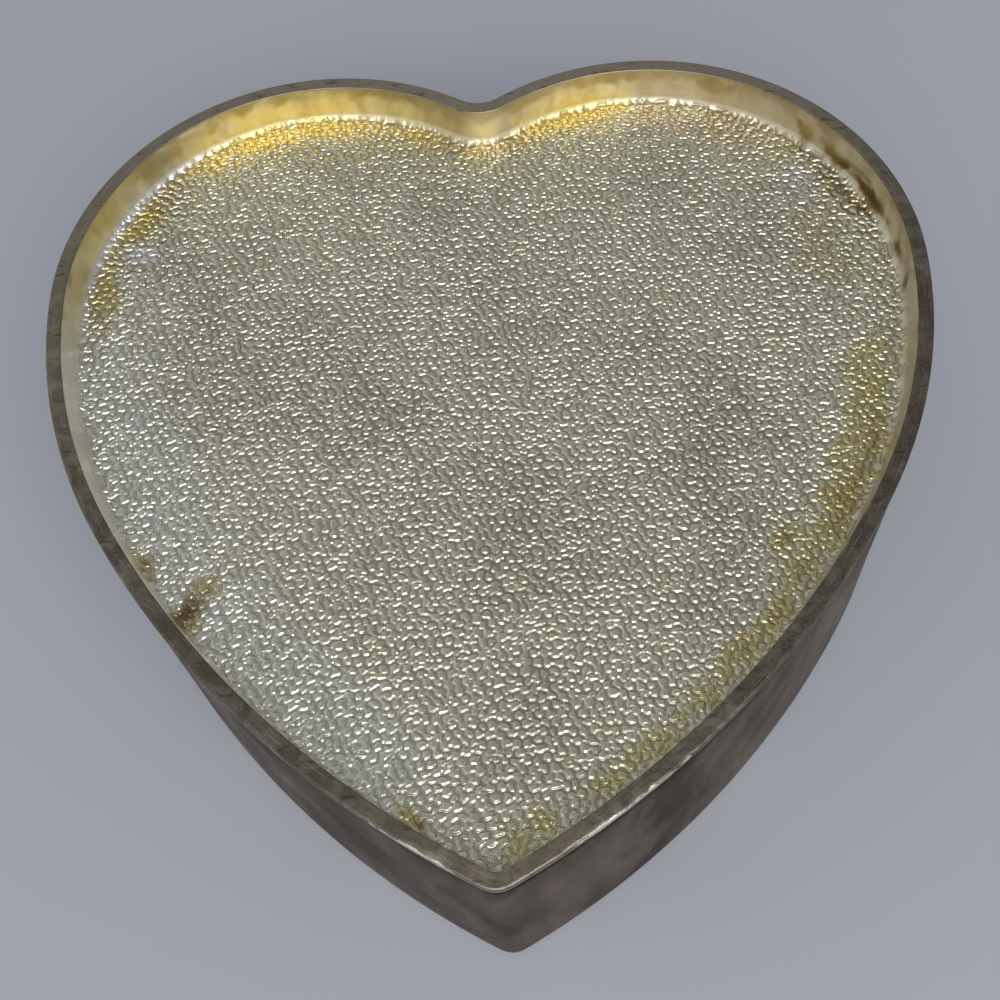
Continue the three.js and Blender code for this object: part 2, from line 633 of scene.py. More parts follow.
class Effects:
    """Node groups that several finishes share."""

    stain_core: float = 0.3
    stain_end: float = 1.25
    speck_edge: float = 0.06
    scratch_level: float = 0.62
    scratch_edge: float = 0.08
    scratch_warp: float = 0.2
    detail: float = 2.0

    def __init__(self) -> None:
        """Builds each group once."""
        self.stain = self._stain()
        self.speckle = self._speckle()
        self.scratches = self._scratches()

    def _stain(self) -> Tree:
        """A blotch about a place, whose edge drifts in and out.

        Returns:
            The node group.
        """
        kinds = {"Way": "Vector", "Centre": "Vector", "Spread": "Vector", "Drift": "Float"}
        tree, make, given = new_group("stain", "Mask", kinds)
        off = make.add("VectorMath", {0: given["Way"], 1: given["Centre"]}, operation="SUBTRACT").outputs[0]
        share = make.add("VectorMath", {0: off, 1: given["Spread"]}, operation="DIVIDE").outputs[0]
        away = make.add("VectorMath", {0: share}, operation="LENGTH").outputs["Value"]
        away = make.maths("ADD", away, given["Drift"])
        return end_group(tree, make.fade(away, self.stain_core, self.stain_end))

    def _speckle(self) -> Tree:
        """Small scattered spots.

        Returns:
            The node group.
        """
        kinds = {"Place": "Vector", "Fineness": "Float", "Amount": "Float"}
        tree, make, given = new_group("speckle", "Mask", kinds)
        inputs = {"Vector": given["Place"], "Scale": given["Fineness"], "Detail": self.detail}
        spots = make.add("TexNoise", inputs).outputs[0]
        over = make.maths("SUBTRACT", spots, make.maths("SUBTRACT", 1.0, given["Amount"]))
        return end_group(tree, make.ramp(over, 0.0, self.speck_edge))

    def _scratches(self) -> Tree:
        """Fine broken lines that run along the first axis of the way.

        Returns:
            The node group.
        """
        kinds = {"Way": "Vector", "Fineness": "Float", "Length": "Float"}
        tree, make, given = new_group("scratches", "Mask", kinds)
        across = given["Fineness"]
        squeeze = make.add("CombineXYZ", {"X": given["Length"], "Y": across, "Z": across}).outputs[0]
        run = make.add("VectorMath", {0: given["Way"], 1: squeeze}, operation="MULTIPLY").outputs[0]
        inputs = {"Vector": run, "Scale": 1.0, "Detail": self.detail, "Distortion": self.scratch_warp}
        lines = make.add("TexNoise", inputs).outputs[0]
        return end_group(tree, make.ramp(lines, self.scratch_level, self.scratch_level + self.scratch_edge))


class Tint(Enum):
    """Colours that the silver plate has turned; the pale one is painted light, and the lilac one also makes a
    painted glint.
    """

    GOLD = (0.80, 0.66, 0.27)
    STRAW = (0.82, 0.73, 0.44)
    BEIGE = (0.62, 0.52, 0.36)
    OLIVE = (0.67, 0.585, 0.27)
    UMBER = (0.34, 0.25, 0.10)
    BROWN = (0.13, 0.085, 0.03)
    GREY = (0.40, 0.35, 0.27)
    SOOT = (0.06, 0.052, 0.042)
    ROSE = (0.60, 0.50, 0.42)
    # Lilac tarnish; also laid as a painted glint line along the left fillet.
    LILAC_AND_PAINTED_GLINT = (0.90, 0.90, 0.96)
    # Painted light: a whitish tint laid where more light falls, on the left of the pan and its wall.
    PALE_PAINTED_LIGHT = (0.88, 0.875, 0.805)


@dataclass(frozen=True)
class Stain:
    """One blotch of tarnish on the lid's sheet, in millimetres.

    Its place is a length along the rim from the cleft, negative on the left, and a run over the sheet: down
    the recess wall from the rim, then in over the floor.
    """

    tint: Tint
    along: float
    run: float
    spread_along: float
    spread_run: float
    strength: float
    ragged: float = 1.0

    def over(self, make: Shading, effects: Effects, way: object, drift: object, colour: object) -> object:
        """Lays the blotch over a colour.

        Args:
            make: The material's nodes.
            effects: The shared node groups.
            way: Length along the rim and run over the sheet.
            drift: How ragged edges are drawn in or out at this spot.
            colour: The colour under it.

        Returns:
            The socket of the new colour.
        """
        centre = (self.along * MM, self.run * MM, 0.0)
        spread = (self.spread_along * MM, self.spread_run * MM, 1.0)
        ragged = make.maths("MULTIPLY", drift, self.ragged)
        mask = make.group(effects.stain, way=way, centre=centre, spread=spread, drift=ragged)
        return make.laid(colour, self.tint.value, mask, self.strength)


def new_material(name: str) -> tuple[bpy.types.Material, Shading, bpy.types.Node]:
    """Starts a material.

    Args:
        name: The material's name.

    Returns:
        The material, the means to add nodes to it, and its shader.
    """
    material = bpy.data.materials.new(name)
    material.use_nodes = True
    return material, Shading(material.node_tree), material.node_tree.nodes["Principled BSDF"]


def finish_material(make: Shading, shader: bpy.types.Node, sockets: dict[str, object]) -> None:
    """Links or sets the shader's sockets.

    Args:
        make: The material's nodes.
        shader: Its Principled BSDF.
        sockets: Values or sockets by input name.
    """
    for name, value in sockets.items():
        if isinstance(value, Socket):
            make.tree.links.new(value, shader.inputs[name])
        else:
            shader.inputs[name].default_value = value


@dataclass(frozen=True)
class GrainedPlate:
    """Bright silver plate over pressed grain, tarnished towards its edge, with painted highlight on the grain
    tops.
    """

    silver: Colour = (0.74, 0.715, 0.535)
    # Painted highlight: a whiter tint for the tops of the grains, so that the highlights on them come out
    # white.
    painted_highlight_tint: Colour = (0.84, 0.835, 0.76)
    painted_highlight_levels: Levels = (0.4, 0.8)
    painted_highlight_share: float = 0.45
    haze: Colour = (0.60, 0.575, 0.43)
    haze_clouds: Mottle = Mottle(16 * MM, 4.0, 0.5)
    haze_levels: Levels = (0.4, 0.66)
    warm: Colour = (0.60, 0.50, 0.38)
    warm_clouds: Mottle = Mottle(21 * MM, 5.0, 1.0)
    warm_stretch: float = 1.3
    warm_levels: Levels = (0.54, 0.68)
    warm_share: float = 0.36
    hollow: Colour = (0.34, 0.32, 0.24)
    hollow_levels: Levels = (0.03, 0.4)
    hollow_share: float = 0.5
    wall_streak: Colour = (0.50, 0.39, 0.19)
    wall_middle: Triple = (4 * MM, 1.2 * MM, 0.0)
    wall_spread: Triple = (84 * MM, 4.2 * MM, 1.0)
    streaks: Mottle = Mottle(2.6 * MM, 5.0, 0.5)
    streak_stretch: float = 0.35
    streak_levels: Levels = (0.42, 0.72)
    streak_share: float = 0.7
    stain_edge: Mottle = Mottle(3.6 * MM, 6.0, 0.6)
    stain_reach: float = 2.6
    smooth: float = 0.18
    dull: float = 0.3
    sheen: Mottle = Mottle(1.3 * MM)
    wall_rough: float = 0.44
    wall_ends: Levels = (4.0 * MM, 5.6 * MM)
    grain_levels: Levels = (0.2, 0.7)
    grain_step: float = 0.108 * MM
    ripples: Mottle = Mottle(0.36 * MM, 4.0, 1.2)
    ripple_depth: float = 0.045 * MM
    ripple_strength: float = 0.5
    stains: tuple[Stain, ...] = ()

    def material(self, effects: Effects) -> bpy.types.Material:
        """Makes the material.

        Args:
            effects: The shared node groups.

        Returns:
            The material.
        """
        material, make, shader = new_material("grained_silver_plate")
        place, way = make.place(), make.way()
        plan = make.stretched(place, (1.0, 1.0, 0.0))
        run, height = make.mark("run"), make.mark("grain")
        clouds = make.mottle(plan, self.haze_clouds)
        colour = make.mix(make.ramp(clouds, *self.haze_levels), self.silver, self.haze)
        patches = make.mottle(make.stretched(plan, (self.warm_stretch, 1.0, 1.0)), self.warm_clouds)
        colour = make.laid(colour, self.warm, make.ramp(patches, *self.warm_levels), self.warm_share)
        # Painted highlight: the grain tops are painted whiter by their height.
        colour = make.laid(colour, self.painted_highlight_tint, make.ramp(height, *self.painted_highlight_levels), self.painted_highlight_share)
        drift = make.ragged(make.mottle(place, self.stain_edge), self.stain_reach)
        for stain in self.stains:
            colour = stain.over(make, effects, way, drift, colour)
        middle, spread = self.wall_middle, self.wall_spread
        on_wall = make.group(effects.stain, way=way, centre=middle, spread=spread, drift=0.0)
        streaks = make.mottle(make.stretched(way, (1.0, self.streak_stretch, 1.0)), self.streaks)
        tarnish = make.maths("MULTIPLY", make.ramp(streaks, *self.streak_levels), on_wall)
        colour = make.laid(colour, self.wall_streak, tarnish, self.streak_share)
        colour = make.laid(colour, self.hollow, make.fade(height, *self.hollow_levels), self.hollow_share)
        rough = make.blend(make.mottle(place, self.sheen), self.smooth, self.dull)
        rough = make.blend(make.fade(run, *self.wall_ends), rough, self.wall_rough)
        sides = make.bump(make.ramp(height, *self.grain_levels), 1.0, self.grain_step)
        ripples = make.mottle(place, self.ripples)
        normal = make.bump(ripples, self.ripple_strength, self.ripple_depth, sides)
        sockets = {"Base Color": colour, "Metallic": 1.0, "Roughness": rough, "Normal": normal}
        finish_material(make, shader, sockets)
        return material


@dataclass(frozen=True)
class WornRim:
    """Dark, speckled plate of the flat rim, bright where its edge has worn."""

    dark: Colour = (0.17, 0.145, 0.105)
    light: Colour = (0.28, 0.245, 0.19)
    clouds: Mottle = Mottle(2 * MM, 8.0, 0.6)
    cloud_levels: Levels = (0.36, 0.7)
    speck: Colour = (0.38, 0.34, 0.27)
    speck_size: float = 0.22 * MM
    speck_amount: float = 0.43
    speck_share: float = 0.3
    grime_and_seam_shade: Colour = (0.05, 0.043, 0.032)
    grime_size: float = 0.3 * MM
    grime_amount: float = 0.42
    grime_share: float = 0.22
    smear_width: float = 0.7 * MM
    smear_length: float = 2.2 * MM
    smear_share: float = 0.5
    bright: Colour = (0.82, 0.80, 0.74)
    scratch_width: float = 0.16 * MM
    scratch_length: float = 5 * MM
    scratch_share: float = 0.2
    worn_edge: Mottle = Mottle(0.5 * MM)
    worn_levels: Levels = (0.42, 0.62)
    smooth: float = 0.3
    dull: float = 0.48
    worn_rough: float = 0.24
    metallic: float = 0.9
    pits: Mottle = Mottle(0.35 * MM, 4.0)
    pit_depth: float = 0.05 * MM
    pit_strength: float = 0.5
    stain_reach: float = 1.6
    stains: tuple[Stain, ...] = ()

    def material(self, effects: Effects) -> bpy.types.Material:
        """Makes the material.

        Args:
            effects: The shared node groups.

        Returns:
            The material.
        """
        material, make, shader = new_material("worn_rim_plate")
        place, way = make.place(), make.way()
        clouds = make.mottle(place, self.clouds)
        colour = make.mix(make.ramp(clouds, *self.cloud_levels), self.dark, self.light)
        drift = make.ragged(clouds, self.stain_reach)
        for stain in self.stains:
            colour = stain.over(make, effects, way, drift, colour)
        specks = make.specks(effects, place, self.speck_size, self.speck_amount)
        colour = make.laid(colour, self.speck, specks, self.speck_share)
        mirrored = make.stretched(place, (-1.0, 1.0, 1.0))
        grime_and_seam_shade = make.specks(effects, mirrored, self.grime_size, self.grime_amount)
        colour = make.laid(colour, self.grime_and_seam_shade, grime_and_seam_shade, self.grime_share)
        scratches = make.lines(effects, way, self.scratch_width, self.scratch_length)
        colour = make.laid(colour, self.bright, scratches, self.scratch_share)
        smears = make.lines(effects, place, self.smear_width, self.smear_length)
        colour = make.laid(colour, self.grime_and_seam_shade, smears, self.smear_share)
        edge = make.maths("ADD", make.mark("wear"), make.ragged(make.mottle(place, self.worn_edge), 1.0))
        worn = make.ramp(edge, *self.worn_levels)
        colour = make.mix(worn, colour, self.bright)
        rough = make.blend(worn, make.blend(clouds, self.smooth, self.dull), self.worn_rough)
        normal = make.bump(make.mottle(place, self.pits), self.pit_strength, self.pit_depth)
        sockets = {"Base Color": colour, "Metallic": self.metallic, "Roughness": rough, "Normal": normal}
        finish_material(make, shader, sockets)
        return material


@dataclass(frozen=True)
class CloudyPlate:
    """Dull plate with cloudy film, streaks and scratches, and painted shade right under a given height.

    The painted shade is a dark band for the shadow under the lid's rim. That height is out of reach unless
    one is given, so a plate has no painted shade of its own.
    """

    name: str = "cloudy_wall_plate"
    dark: Colour = (0.08, 0.072, 0.062)
    light: Colour = (0.24, 0.213, 0.185)
    clouds: Mottle = Mottle(12 * MM, 6.0, 0.6)
    cloud_stretch: Triple = (1.0, 1.0, 0.6)
    cloud_levels: Levels = (0.34, 0.66)
    film: Colour = (0.40, 0.335, 0.30)
    film_levels: Levels = (0.32, 0.66)
    film_share: float = 0.6
    streaks: Mottle = Mottle(4 * MM, 6.0, 0.4)
    streak_stretch: Triple = (1.2, 1.2, 0.3)
    streak_levels: Levels = (0.4, 0.72)
    speck_size: float = 0.6 * MM
    speck_amount: float = 0.36
    speck_share: float = 0.3
    scratch_width: float = 0.35 * MM
    scratch_length: float = 4 * MM
    scratch_share: float = 0.25
    # Painted shade: colour of the dark band just under the lip, for the shadow under the lid's rim.
    grime_and_seam_shade: Colour = (0.016, 0.013, 0.011)
    seam_shade_top: float = 1.0
    seam_shade_full: float = 0.4 * MM
    seam_shade_gone: float = 1.4 * MM
    seam_shade_edge: Mottle = Mottle(1.6 * MM, 4.0)
    seam_shade_reach: float = 1.4 * MM
    edge_tint: Colour = (0.61, 0.545, 0.495)
    rough: float = 0.36
    rough_less: float = 0.08
    rough_more: float = 0.12
    sheen: Mottle = Mottle(5 * MM, 4.0)
    dents: Mottle = Mottle(0.7 * MM, 4.0)
    dent_depth: float = 0.05 * MM
    dent_strength: float = 0.3

    def material(self, effects: Effects) -> bpy.types.Material:
        """Makes the material.

        Args:
            effects: The shared node groups.

        Returns:
            The material.
        """
        material, make, shader = new_material(self.name)
        place = make.place()
        clouds = make.mottle(make.stretched(place, self.cloud_stretch), self.clouds)
        colour = make.mix(make.ramp(clouds, *self.cloud_levels), self.dark, self.light)
        streaks = make.mottle(make.stretched(place, self.streak_stretch), self.streaks)
        streaks, banks = make.ramp(streaks, *self.streak_levels), make.ramp(clouds, *self.film_levels)
        colour = make.laid(colour, self.film, make.maths("MULTIPLY", streaks, banks), self.film_share)
        specks = make.specks(effects, place, self.speck_size, self.speck_amount)
        colour = make.laid(colour, self.film, specks, self.speck_share)
        scratches = make.lines(effects, place, self.scratch_width, self.scratch_length)
        colour = make.laid(colour, self.film, scratches, self.scratch_share)
        # Painted shade: a ragged dark band just under the given height, for the shadow under the lid's rim.
        height = make.add("SeparateXYZ", {0: place}).outputs[2]
        ragged = make.ragged(make.mottle(place, self.seam_shade_edge), self.seam_shade_reach)
        edge = make.maths("ADD", height, ragged)
        grime_and_seam_shade = make.ramp(edge, self.seam_shade_top - self.seam_shade_gone, self.seam_shade_top - self.seam_shade_full)
        colour = make.mix(grime_and_seam_shade, colour, self.grime_and_seam_shade)
        shine = make.mottle(place, self.sheen)
        rough = make.blend(shine, self.rough - self.rough_less, self.rough + self.rough_more)
        normal = make.bump(make.mottle(place, self.dents), self.dent_strength, self.dent_depth)
        sockets = {"Base Color": colour, "Metallic": 1.0, "Roughness": rough, "Normal": normal}
        finish_material(make, shader, sockets | {"Specular Tint": (*self.edge_tint, 1.0)})
        return material


INSIDE_PLATE = CloudyPlate(
    name="inside_plate",
    dark=(0.22, 0.20, 0.17),
    light=(0.40, 0.38, 0.33),
    film=(0.50, 0.48, 0.43),
    rough=0.42,
)
PAN_OUTSIDE_PLATE = CloudyPlate(
    name="pan_outside_plate",
    dark=(0.30, 0.28, 0.23),
    light=(0.45, 0.43, 0.36),
    film=(0.55, 0.52, 0.46),
    rough=0.40,
)


@dataclass
class BoxBody:
    """The open heart-shaped cup."""

    height: float = 31.85 * MM
    overhang: float = 0.1 * MM
    wall: float = 0.7 * MM
    floor: float = 0.7 * MM
    base_edge: float = 0.8 * MM
    inner_edge: float = 1.2 * MM
    lip_ease: float = 0.2 * MM
    support: float = 0.3 * MM
    wall_steps: int = 12
    edge_steps: int = 6
    inner_lip_steps: int = 3
    outer_lip_steps: int = 4
    waver: Waver = Waver(22.0 * MM, 3.7)
    waver_depth: float = 0.12 * MM

    def inside_section(self) -> Section:
        """From the inside floor up the inside of the wall to the lip.

        Returns:
            The section's points.
        """
        inset, ease = self.overhang + self.wall, self.lip_ease
        foot = inset + self.inner_edge
        return [
            (foot + self.support, self.floor),
            *rounding(foot, self.floor + self.inner_edge, self.inner_edge, DOWN, OUT, self.edge_steps),
            (inset, self.height / 2),
            *rounding(inset - ease, self.height - ease, ease, IN, UP, self.inner_lip_steps),
        ]

    def outside_section(self) -> Section:
        """Over the lip and down the outside to the flat underside.

        Returns:
            The section's points.
        """
        inset = self.overhang
        top, bottom = self.height - self.lip_ease, self.base_edge
        heights = np.linspace(top, bottom, self.wall_steps + 1)[1:-1]
        return [
            *rounding(inset + self.lip_ease, top, self.lip_ease, UP, OUT, self.outer_lip_steps),
            *[(inset, float(z)) for z in heights],
            *rounding(inset + bottom, bottom, bottom, OUT, DOWN, self.edge_steps),
            (inset + bottom + self.support, 0.0),
        ]

    def dented(self, ring: np.ndarray, z: float) -> np.ndarray:
        """Moves a ring of the wall in a little, unevenly, as handled sheet is.

        Args:
            ring: Plan points.
            z: Their height.

        Returns:
            Points of x, y and z.
        """
        points = np.column_stack([ring, np.full(len(ring), z)])
        outward = HEART.footing(ring).outward
        share = math.sin(math.pi * min(max(z / self.height, 0.0), 1.0))
        depth = self.waver_depth * share * (self.waver.at(points) + 1) / 2
        points[:, :2] -= outward * depth[:, None]
        return points

    def build(self, effects: Effects) -> bpy.types.Object:
        """Builds and dresses the body.

        Args:
            effects: The shared node groups.

        Returns:
            The piece.
        """
        sheet = SheetMesh()
        inner, outer = self.inside_section(), self.outside_section()
        previous = None
        for number, (inset, z) in enumerate(inner + outer):
            ring = sheet.add(self.dented(HEART.ring(inset), z))
            surface = Surface.HIDDEN if number < len(inner) else Surface.PANEL
            if previous is None:
                sheet.cap(ring, Surface.HIDDEN, downwards=False)
            else:
                sheet.bridge(previous, ring, surface)
            previous = ring
        sheet.cap(previous, Surface.PANEL, downwards=True)
        # The body's wall gets painted shade just under its lip, for the shadow under the lid's rim.
        plate = CloudyPlate(seam_shade_top=self.height).material(effects)
        body = sheet.build("box_body", [plate, plate, INSIDE_PLATE.material(effects)])
        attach(body, ROOT)
        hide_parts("body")
        return body


@dataclass
class BoxLid:
    """The lid: a flat rim with a sunk, grained pan, as one closed sheet."""

    top: float = 33.0 * MM
    rim_thickness: float = 1.0 * MM
    rim_width: float = 1.7 * MM
    rim_ease: float = 0.25 * MM
    inner_ease: float = 0.12 * MM
    under_ease: float = 0.1 * MM
    sheet: float = 0.6 * MM
    recess_depth: float = 4.7 * MM
    fillet: float = 1.0 * MM
    draft: float = 0.3 * MM
    support: float = 0.08 * MM
    pan_support: float = 0.32 * MM
    fillet_steps: int = 3
    wall_steps: int = 4
    inner_steps: int = 3
    flat_rings: int = 4
    outer_steps: int = 4
    under_steps: int = 2
    pan_steps: int = 4
    bend_to_grain: float = math.radians(72.0)
    grain: PressedGrain = PressedGrain()
    grain_fades_over: float = 0.75 * MM
    near_fade: float = 0.35
    sag: float = 0.06 * MM
    sag_waver: Waver = Waver(16.0 * MM, 1.3)
    wall_lean: float = 0.07 * MM
    wall_waver: Waver = Waver(11.0 * MM, 5.1)
    knocks_left: float = 14.0 * MM
    knocks_right: float = 21.0 * MM
    knocks_from: float = 3.0 * MM
    knocks_rise: float = 1.5 * MM
    knocks_fall: float = 4.0 * MM
    nick_depth: float = 0.3 * MM
    nick_drop: float = 0.2 * MM
    nick_in: float = 0.45 * MM
    nick_down: float = 0.5 * MM
    nick_fine: Waver = Waver(1.5 * MM, 6.2)
    nick_broad: Waver = Waver(8.0 * MM, 2.2)
    nick_mix: Triple = (1.3, 0.9, 0.55)
    nick_level: float = 0.6
    stray_nicks: float = 0.15
    wear_in: float = 0.11 * MM
    wear_down: float = 0.6 * MM
    wear_fade: float = 0.25 * MM
    wear_broad: Waver = Waver(6.0 * MM, 9.1)
    wear_fine: Waver = Waver(1.5 * MM, 4.4)
    wear_mix: Triple = (0.5, 0.9, 0.4)
    least: float = 0.001

    @property
    def foot(self) -> float:
        """Where the fillet meets the pan's floor, as a distance inside the rim's edge."""
        return self.rim_width + self.draft + self.fillet

    @property
    def grain_edge(self) -> float:
        """Where the grained sheet ends on the fillet, if that part of the sheet were flattened."""
        return self.foot - self.fillet * self.bend_to_grain

    @property
    def floor(self) -> float:
        """Height of the pan's floor."""
        return self.top - self.recess_depth

    @property
    def foot_run(self) -> float:
        """Run over the sheet from the rim down to the fillet's foot."""
        return self.recess_depth - self.fillet + self.fillet * math.pi / 2

    def lifted(self, flat: np.ndarray, height: np.ndarray) -> tuple[np.ndarray, dict[str, np.ndarray]]:
        """Bends the edge of the flat grained sheet up round the fillet.

        Args:
            flat: Points on the flattened sheet.
            height: Height of the grain at each, from 0 to 1.

        Returns:
            Points of x, y and z, and their marks.
        """
        lie = HEART.footing(flat)
        turn = np.clip(self.foot - lie.inset, 0.0, None) / self.fillet
        bent = np.where(turn > 0, self.foot - self.fillet * np.sin(turn), lie.inset)
        plan = flat + lie.outward * (lie.inset - bent)[:, None]
        level = self.floor + self.fillet * (1 - np.cos(turn))
        fade = self.grain_fades_over * (1 + self.near_fade * lie.outward[:, 1])
        share = np.clip((lie.inset - self.grain_edge) / fade, 0.0, 1.0)
        share = share * share * (3 - 2 * share)
        dip = self.sag * self.sag_waver.at(np.column_stack([plan, level])) * share
        rise = (height - self.grain.sheet_level) * self.grain.depth * share + dip
        normal = np.column_stack([-lie.outward * np.sin(turn)[:, None], np.cos(turn)])
        marks = {
            "grain": 1 - share * (1 - height),
            "wear": np.zeros(len(flat)),
            "along": lie.along,
            "run": self.foot_run + lie.inset - self.foot,
        }
        return np.column_stack([plan, level]) + normal * rise[:, None], marks

    def panel(self, sheet: SheetMesh) -> np.ndarray:
        """Adds the grained floor and the foot of the fillet.

        Args:
            sheet: The lid's mesh.

        Returns:
            Vertex numbers of its outer ring.
        """
        edge = HEART.ring(self.grain_edge)
        inner, inner_height = self.grain.relief(self.grain_edge)
        flat = np.vstack([edge, inner])
        height = np.concatenate([np.full(len(edge), self.grain.sheet_level), inner_height])
        corners = [Vector(p) for p in flat.tolist()]
        made = delaunay_2d_cdt(corners, [], [list(range(len(edge)))], 1, WELD)
        source = np.array([origins[0] for origins in made[3]])
        points, marks = self.lifted(flat[source], height[source])
        numbers = sheet.add(points, **marks)
        sheet.faces.extend(tuple(int(numbers[v]) for v in face) for face in made[2])
        sheet.surfaces.extend([Surface.PANEL.value] * len(made[2]))
        ring = np.empty(len(edge), int)
        on_edge = source < len(edge)
        ring[source[on_edge]] = numbers[on_edge]
        return ring

    def wall_section(self) -> Section:
        """Up the fillet and the recess wall, nearly to the rim.

        Returns:
            The section's points.
        """
        turn = math.degrees(self.bend_to_grain)
        bend = rounding(self.foot, self.floor + self.fillet, self.fillet, turn + DOWN, OUT, self.fillet_steps)
        low, high = bend[-1], (self.rim_width, self.top - self.inner_ease - self.support)
        shares = [k / self.wall_steps for k in range(1, self.wall_steps)]
        mid = [tuple(a + (b - a) * share for a, b in zip(low, high)) for share in shares]
        return [*bend[1:], *mid, high]

    def rim_section(self) -> Section:
        """From the rim's inner edge over the flat rim, down its outer edge and under it.

        Returns:
            The section's points.
        """
        under = self.top - self.rim_thickness
        start, end = self.rim_width - self.inner_ease - self.support, self.rim_ease + self.support
        ease = self.inner_ease
        return [
            *rounding(self.rim_width - ease, self.top - ease, ease, IN, UP, self.inner_steps),
            *[(float(inset), self.top) for inset in np.linspace(start, end, self.flat_rings)],
            *rounding(self.rim_ease, self.top - self.rim_ease, self.rim_ease, UP, OUT, self.outer_steps),
            (0.0, self.top - self.rim_thickness / 2),
            *rounding(self.under_ease, under + self.under_ease, self.under_ease, OUT, DOWN, self.under_steps),
        ]

    def outside_section(self) -> Section:
        """In under the rim and down round the pan's outside.

        Returns:
            The section's points.
        """
        under = self.top - self.rim_thickness
        pan, radius = self.rim_width - self.sheet, self.fillet + self.sheet
        return [
            (pan - self.support, under),
            (pan, under - self.support),
            *rounding(self.foot, self.floor + self.fillet, radius, OUT, DOWN, self.pan_steps),
            (self.foot + self.pan_support, self.floor - self.sheet),
        ]

    def knocked(self, ring: np.ndarray) -> np.ndarray:
        """Where the rim's edge has taken most knocks: on both sides of the point, but not on it.

        Args:
            ring: Plan points.

        Returns:
            One value from 0 to 1 a point.
        """
        out = np.abs(ring[:, 0])
        reach = np.where(ring[:, 0] < 0, self.knocks_left, self.knocks_right)
        rises = np.clip((out - self.knocks_from) / self.knocks_rise, 0.0, 1.0)
        falls = np.clip((reach - out) / self.knocks_fall, 0.0, 1.0)
        return rises * falls * (ring[:, 1] < 0)

    def bite(self, ring: np.ndarray) -> np.ndarray:
        """How deep the rim's outer edge is nicked, from 0 to 1.

        Args:
            ring: Plan points.

        Returns:
            One value a point; most are zero.
        """
        flat = np.column_stack([ring, np.zeros(len(ring))])
        near = self.knocked(ring)
        fine, broad, knocks = self.nick_mix
        level = fine * self.nick_fine.at(flat) + broad * self.nick_broad.at(flat) + knocks * near
        stray = self.stray_nicks
        return np.clip(level - self.nick_level, 0.0, 1.0) * (stray + (1 - stray) * near)

    def nicked(self, ring: np.ndarray, inset: float, z: float) -> np.ndarray:
        """Dents the rim's outer edge a little here and there.

        Args:
            ring: Plan points.
            inset: Their distance inside the rim's edge.
            z: Their height.

        Returns:
            Points of x, y and z.
        """
        points = np.column_stack([ring, np.full(len(ring), z)])
        close = math.exp(-((inset / self.nick_in) ** 2))
        high = min(max((z - self.top) / self.nick_down + 1, 0.0), 1.0)
        if close * high < self.least:
            return points
        bite = self.bite(ring) * close * high
        points[:, :2] -= HEART.footing(ring).outward * (bite * self.nick_depth)[:, None]
        points[:, 2] -= bite * self.nick_drop
        return points

    def wear(self, points: np.ndarray, inset: float) -> np.ndarray:
        """How far the rim's edge has worn to bright metal.

        Args:
            points: Points of x, y and z.
            inset: Their distance inside the rim's edge.

        Returns:
            Wear from 0 to 1.
        """
        edge = math.exp(-((inset / self.wear_in) ** 2))
        if edge < self.least:
            return np.zeros(len(points))
        all_over, patchy, fine = self.wear_mix
        patches = self.wear_broad.at(points) + fine * self.wear_fine.at(points)
        near = self.knocked(points[:, :2])
        high = np.clip((points[:, 2] - (self.top - self.wear_down)) / self.wear_fade, 0.0, 1.0)
        worn = near * (all_over + patchy * patches) + self.bite(points[:, :2])
        return np.clip(worn * edge * high, 0.0, 1.0)

    def uneven(self, points: np.ndarray, outward: np.ndarray, run: float) -> None:
        """Moves a ring of the recess wall in a little, unevenly.

        Args:
            points: Points of x, y and z, which are changed.
            outward: The way out at each point.
            run: How far down the wall they lie.
        """
        share = min(max(run / (self.recess_depth - self.fillet / 4), 0.0), 1.0)
        lean = self.wall_lean * math.sin(math.pi * share) * self.wall_waver.at(points)
        points[:, :2] -= outward * np.abs(lean)[:, None]

